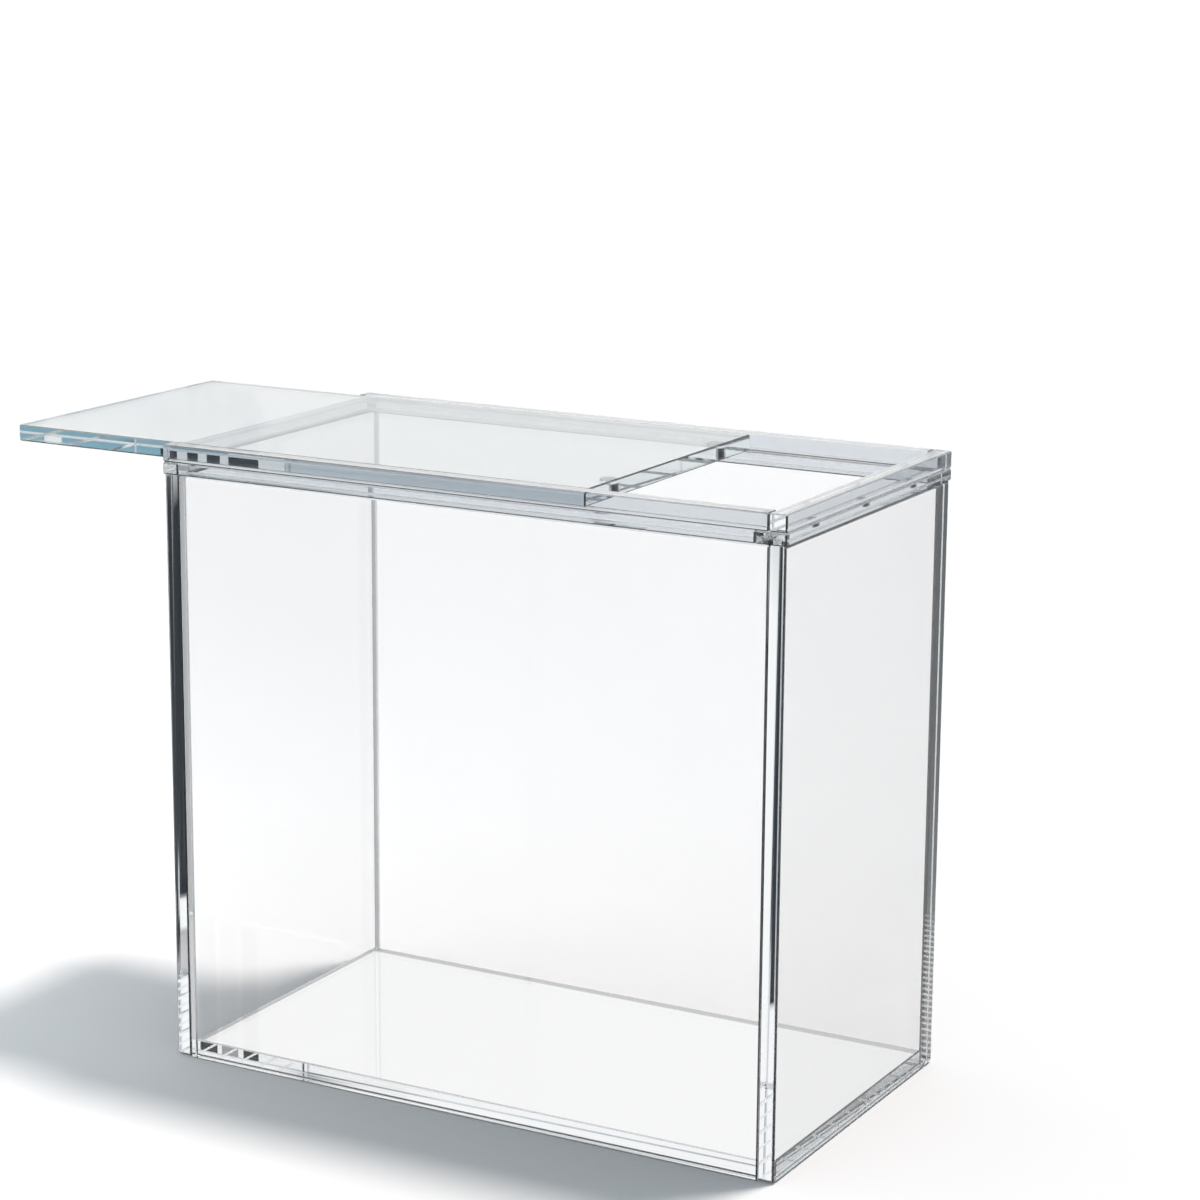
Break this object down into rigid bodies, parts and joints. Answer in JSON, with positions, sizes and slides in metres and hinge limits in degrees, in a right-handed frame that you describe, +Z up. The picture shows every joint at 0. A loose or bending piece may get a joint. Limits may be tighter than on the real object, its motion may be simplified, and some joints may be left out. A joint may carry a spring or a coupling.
{
  "type": "acrylic display case",
  "caption": "Clear acrylic display case with a layered rail rim and a flat lid that slides out lengthwise, held shut by small embedded magnets.",
  "frame": {"origin": "middle of the base panel's underside, on the surface that the case stands on", "axes": "+X along the width towards the lid's stop, +Y to the back, +Z up"},
  "size_m": [0.2628, 0.1118, 0.191],
  "materials": {
    "clear_acrylic": "clear cast acrylic sheet, polished",
    "rail_acrylic": "clear cast acrylic strip with diamond-polished edges",
    "lid_acrylic": "clear cast acrylic sheet, polished, with fine sliding marks",
    "nickel_plate": "nickel plating"
  },
  "bodies": {
    "case": {"base_panel": "clear_acrylic", "front_panel": "clear_acrylic", "back_panel": "clear_acrylic", "left_panel": "clear_acrylic", "right_panel": "clear_acrylic", "front_ledge_rail": "rail_acrylic", "back_ledge_rail": "rail_acrylic", "left_sill_rail": "rail_acrylic", "right_ledge_rail": "rail_acrylic", "front_guide_rail": "rail_acrylic", "back_guide_rail": "rail_acrylic", "right_stop_rail": "rail_acrylic", "keeper_magnet_front": "nickel_plate", "keeper_magnet_middle": "nickel_plate", "keeper_magnet_back": "nickel_plate"},
    "lid": {"lid_panel": "lid_acrylic", "lid_magnet_front": "nickel_plate", "lid_magnet_back": "nickel_plate"}
  },
  "joints": [
    {"name": "lid_slide", "type": "slide", "parent": "case", "child": "lid", "axis": [-1, 0, 0], "range_m": [-0.058, 0.136]}
  ]
}
